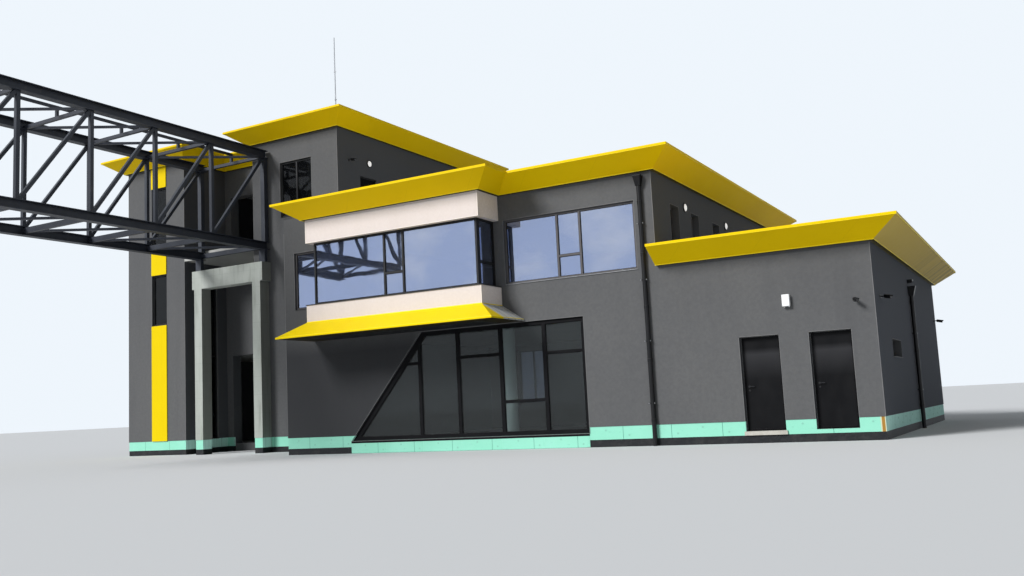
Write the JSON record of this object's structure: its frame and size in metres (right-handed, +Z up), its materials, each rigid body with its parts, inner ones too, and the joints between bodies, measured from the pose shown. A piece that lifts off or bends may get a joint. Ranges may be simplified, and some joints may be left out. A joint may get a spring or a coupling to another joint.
{
  "type": "railway station building with the start of a footbridge",
  "caption": "Modern railway station building with flared yellow parapets, a glazed bay, a tower and the steel lattice footbridge that starts from it.",
  "frame": {"origin": "middle of the hall's ground floor slab, on its underside at ground level", "axes": "+X along the front towards the single-storey annex, +Y from the track side into the building, +Z up"},
  "size_m": [28.05, 23.9475, 14.154],
  "materials": {
    "render": "matt",
    "pale_render": "matt",
    "concrete": "matt",
    "portal_concrete": "matt",
    "roofing": "matt",
    "yellow_metal": "satin",
    "window_frame": "satin",
    "glass": "gloss",
    "door_steel": "satin",
    "handle": "satin",
    "bitumen": "matt",
    "foam_board": "matt",
    "bridge_steel": "satin",
    "pipe_metal": "satin",
    "white_plastic": "satin",
    "camera_housing": "satin",
    "sill_stone": "matt",
    "rod_metal": "satin"
  },
  "bodies": {
    "building": {"annex_back_wall": "render", "annex_front_lintel": "render", "annex_front_piers": "render", "annex_parapet": "yellow_metal", "annex_roof": "roofing", "annex_side_wall": "render", "annex_window_frames": "window_frame", "annex_window_panes": "glass", "bay_bands": "pale_render", "bay_canopy": "yellow_metal", "bay_soffit": "window_frame", "bay_window_frame": "window_frame", "bay_window_panes": "glass", "bridge_bearings": "bridge_steel", "bridge_floor_bracing": "bridge_steel", "bridge_left_truss": "bridge_steel", "bridge_portal": "portal_concrete", "bridge_right_truss": "bridge_steel", "bridge_top_bracing": "bridge_steel", "door_frames": "door_steel", "ground_floors": "concrete", "hall_back_wall": "render", "hall_columns": "portal_concrete", "hall_end_wall": "render", "hall_first_floor": "concrete", "hall_front_wall_lower": "render", "hall_front_wall_upper": "render", "hall_glazing_frame": "window_frame", "hall_glazing_panes": "glass", "hall_parapet": "yellow_metal", "hall_roof": "roofing", "hall_side_wall": "render", "hall_window_frames": "window_frame", "hall_window_panes": "glass", "left_door_sill": "sill_stone", "lightning_rod": "rod_metal", "plinth_insulation": "foam_board", "plinth_membrane": "bitumen", "rainwater_pipes": "pipe_metal", "security_cameras": "camera_housing", "tower_back_wall": "render", "tower_floors": "concrete", "tower_front_wall_left": "render", "tower_front_wall_right": "render", "tower_left_wall": "render", "tower_parapet": "yellow_metal", "tower_recess_returns": "render", "tower_recess_wall": "render", "tower_right_wall": "render", "tower_roof": "roofing", "tower_roof_door": "door_steel", "tower_window_frames": "window_frame", "tower_window_panes": "glass", "tower_yellow_band": "yellow_metal", "wall_box": "white_plastic", "wall_lamps": "white_plastic"},
    "left_door": {"left_door_leaf": "door_steel", "left_door_handle": "handle"},
    "right_door": {"right_door_leaf": "door_steel", "right_door_handle": "handle"}
  },
  "joints": [
    {"name": "left_door_hinge", "type": "hinge", "parent": "building", "child": "left_door", "pos_m": [8.7635, -5.74, 1.27], "axis": [0, 0, 1], "range_deg": [0, 90]},
    {"name": "right_door_hinge", "type": "hinge", "parent": "building", "child": "right_door", "pos_m": [10.3535, -5.74, 1.27], "axis": [0, 0, 1], "range_deg": [0, 90]}
  ]
}
